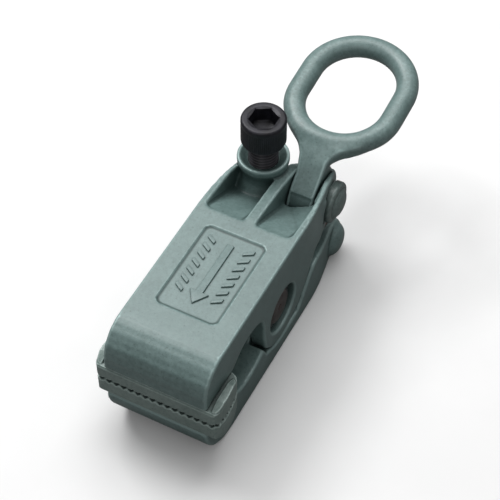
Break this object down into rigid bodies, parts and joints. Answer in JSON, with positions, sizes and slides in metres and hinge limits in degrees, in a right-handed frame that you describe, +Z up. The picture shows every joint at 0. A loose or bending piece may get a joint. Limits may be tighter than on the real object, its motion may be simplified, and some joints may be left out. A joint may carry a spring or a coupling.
{
  "type": "pulling clamp",
  "caption": "Hinged two-jaw pulling clamp for sheet metal: serrated grip plates closed by a socket-head cap screw, with a swinging oval pull ring at the tail.",
  "frame": {"origin": "on the flat underside of the lower jaw, straight below the main pivot, midway across the jaws", "axes": "+X from the jaws towards the pull ring, +Y towards the clamping screw's side, +Z up from the underside"},
  "size_m": [0.2382, 0.0789, 0.1014],
  "materials": {
    "cast_paint": "grey-green paint over a cast surface, slightly glossy",
    "plate_steel": "thin grey-green paint over machined steel",
    "black_oxide": "black oxide",
    "pin_steel": "dark turned steel",
    "spring_steel": "oiled spring steel",
    "bronze": "plain bearing bronze"
  },
  "bodies": {
    "upper_jaw": {"upper_jaw": "cast_paint", "upper_jaw_plate": "plate_steel", "upper_plate_screws": "black_oxide", "pivot_pin": "pin_steel", "pivot_snap_rings": "spring_steel", "ring_pin": "cast_paint", "ring_pin_set_screw": "black_oxide"},
    "lower_jaw": {"lower_jaw": "cast_paint", "opening_spring": "spring_steel", "lower_jaw_plate": "plate_steel", "lower_plate_screws": "black_oxide", "pivot_bush": "bronze", "thrust_pad": "pin_steel", "tail_pin": "pin_steel", "tail_pin_set_screw": "black_oxide"},
    "tail_roller": {"tail_roller": "pin_steel"},
    "screw_foot": {"screw_foot": "pin_steel", "foot_snap_ring": "spring_steel"},
    "clamp_screw": {"clamp_screw": "black_oxide"},
    "pull_ring": {"pull_ring": "cast_paint", "ring_bush": "bronze"}
  },
  "joints": [
    {"name": "foot_slide", "type": "slide", "parent": "upper_jaw", "child": "screw_foot", "axis": [0, 0, 1], "range_m": [-0.0006, 0.0052], "stiffness_N_per_m": 2, "springref_m": 0.8045},
    {"name": "screw_turn", "type": "hinge", "parent": "screw_foot", "child": "clamp_screw", "pos_m": [0.0574, 0.0128, 0.09], "axis": [0, 0, 1], "range_deg": [-101, 931]},
    {"name": "jaw_hinge", "type": "hinge", "parent": "lower_jaw", "child": "upper_jaw", "pos_m": [0, 0, 0.033], "axis": [0, 1, 0], "range_deg": [-0.54, 5], "deforming": ["opening_spring"]},
    {"name": "ring_hinge", "type": "hinge", "parent": "upper_jaw", "child": "pull_ring", "pos_m": [0.0655, 0, 0.0483], "axis": [0, -1, 0], "range_deg": [-20, 14]},
    {"name": "roller_spin", "type": "hinge", "parent": "lower_jaw", "child": "tail_roller", "pos_m": [0.0703, 0, 0.0116], "axis": [0, 1, 0], "continuous": true}
  ],
  "couplings": [
    {"joint": "foot_slide", "follows": "jaw_hinge", "m_per_rad": 0.0592},
    {"joint": "screw_turn", "follows": "jaw_hinge", "ratio": 185.98}
  ]
}
